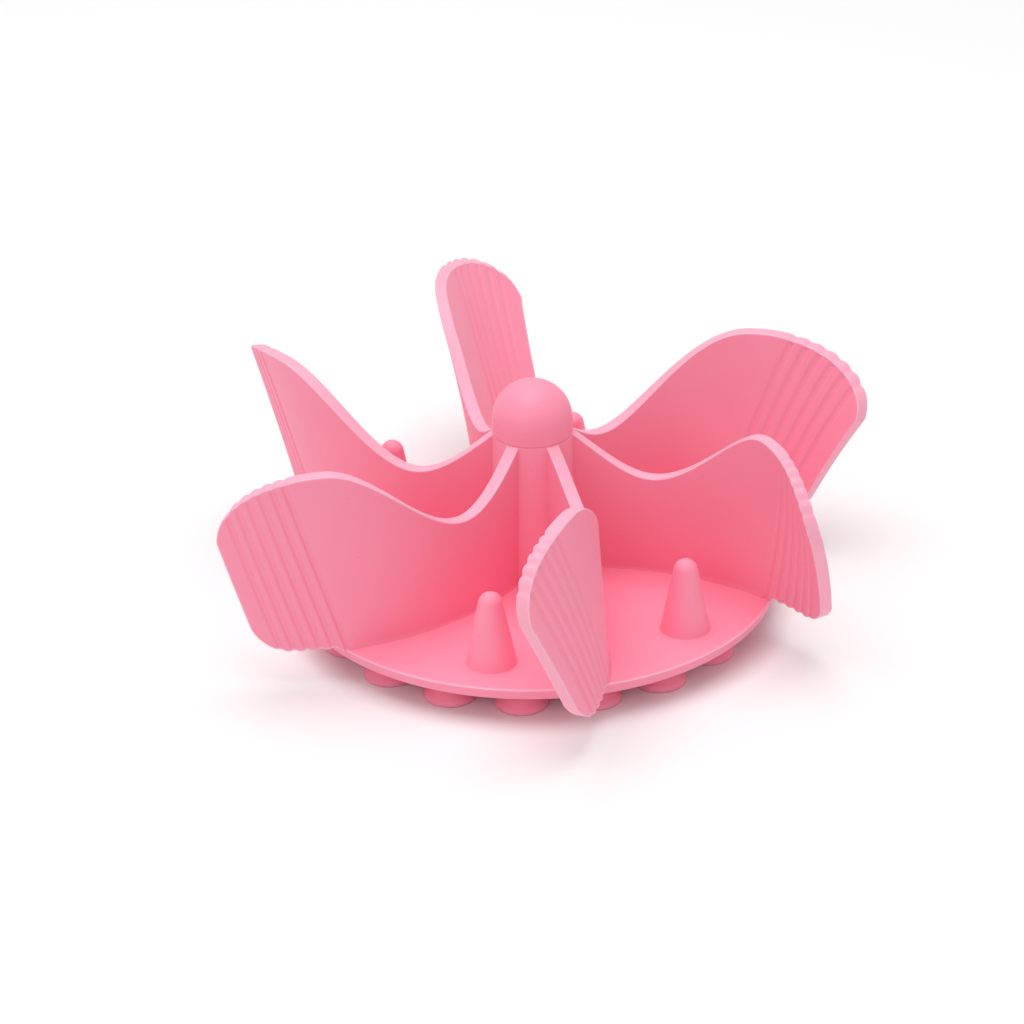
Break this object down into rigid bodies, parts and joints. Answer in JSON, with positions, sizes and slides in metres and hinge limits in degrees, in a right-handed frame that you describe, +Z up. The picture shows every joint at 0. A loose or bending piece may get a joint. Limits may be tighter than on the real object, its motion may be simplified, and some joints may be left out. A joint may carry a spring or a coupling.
{
  "type": "slow feeder bowl insert",
  "caption": "Round soft silicone slow-feeder insert for a pet bowl: curling wavy blades around a domed post, blunt spikes on the disc and suction cups beneath.",
  "frame": {"origin": "centre of the disc's flat underside, on the post's centre line", "axes": "+Z up along the post, +Y away from the front blade's side, +X to the right"},
  "size_m": [0.1563, 0.1836, 0.0592],
  "materials": {
    "silicone": "satin"
  },
  "bodies": {
    "base": {"base_disc": "silicone", "centre_post": "silicone", "post_dome": "silicone", "blade_root_1": "silicone", "blade_root_2": "silicone", "blade_root_3": "silicone", "blade_root_4": "silicone", "blade_root_5": "silicone", "blade_root_6": "silicone", "spike_1": "silicone", "spike_2": "silicone", "spike_3": "silicone", "spike_4": "silicone", "spike_5": "silicone", "spike_6": "silicone"},
    "blade_end_1": {"blade_tip_1": "silicone"},
    "blade_end_2": {"blade_tip_2": "silicone"},
    "blade_end_3": {"blade_tip_3": "silicone"},
    "blade_end_4": {"blade_tip_4": "silicone"},
    "blade_end_5": {"blade_tip_5": "silicone"},
    "blade_end_6": {"blade_tip_6": "silicone"},
    "suction_cups": {"outer_cup_01": "silicone", "outer_cup_02": "silicone", "outer_cup_03": "silicone", "outer_cup_04": "silicone", "outer_cup_05": "silicone", "outer_cup_06": "silicone", "outer_cup_07": "silicone", "outer_cup_08": "silicone", "outer_cup_09": "silicone", "outer_cup_10": "silicone", "outer_cup_11": "silicone", "outer_cup_12": "silicone", "outer_cup_13": "silicone", "outer_cup_14": "silicone", "outer_cup_15": "silicone", "outer_cup_16": "silicone", "outer_cup_17": "silicone", "outer_cup_18": "silicone", "middle_cup_01": "silicone", "middle_cup_02": "silicone", "middle_cup_03": "silicone", "middle_cup_04": "silicone", "middle_cup_05": "silicone", "middle_cup_06": "silicone", "middle_cup_07": "silicone", "middle_cup_08": "silicone", "middle_cup_09": "silicone", "middle_cup_10": "silicone", "middle_cup_11": "silicone", "middle_cup_12": "silicone", "inner_cup_01": "silicone", "inner_cup_02": "silicone", "inner_cup_03": "silicone", "inner_cup_04": "silicone", "inner_cup_05": "silicone", "inner_cup_06": "silicone"}
  },
  "joints": [
    {"name": "blade_1_bend", "type": "hinge", "parent": "base", "child": "blade_end_1", "pos_m": [-0.04574, -0.03883, 0.0045], "axis": [-0.0017, 0.0078, 1], "range_deg": [-35, 20], "stiffness_Nm_per_rad": 0.02},
    {"name": "blade_2_bend", "type": "hinge", "parent": "base", "child": "blade_end_2", "pos_m": [0.0149, -0.05812, 0.0045], "axis": [-0.1356, 0.0189, 0.9906], "range_deg": [-35, 20], "stiffness_Nm_per_rad": 0.02},
    {"name": "blade_3_bend", "type": "hinge", "parent": "base", "child": "blade_end_3", "pos_m": [0.05713, -0.01832, 0.0045], "axis": [-0.0875, -0.0934, 0.9918], "range_deg": [-35, 20], "stiffness_Nm_per_rad": 0.02},
    {"name": "blade_4_bend", "type": "hinge", "parent": "base", "child": "blade_end_4", "pos_m": [0.05321, 0.02773, 0.0045], "axis": [0.0624, 0.1881, 0.9802], "range_deg": [-35, 20], "stiffness_Nm_per_rad": 0.02},
    {"name": "blade_5_bend", "type": "hinge", "parent": "base", "child": "blade_end_5", "pos_m": [-0.00737, 0.05955, 0.0045], "axis": [-0.3253, 0.1556, 0.9327], "range_deg": [-35, 20], "stiffness_Nm_per_rad": 0.02},
    {"name": "blade_6_bend", "type": "hinge", "parent": "base", "child": "blade_end_6", "pos_m": [-0.0539, 0.02635, 0.0045], "axis": [-0.1279, -0.0651, 0.9896], "range_deg": [-35, 20], "stiffness_Nm_per_rad": 0.02},
    {"name": "cups_press", "type": "slide", "parent": "base", "child": "suction_cups", "axis": [0, 0, 1], "range_m": [0, 0.0015], "stiffness_N_per_m": 1000, "springref_m": -0.004}
  ]
}
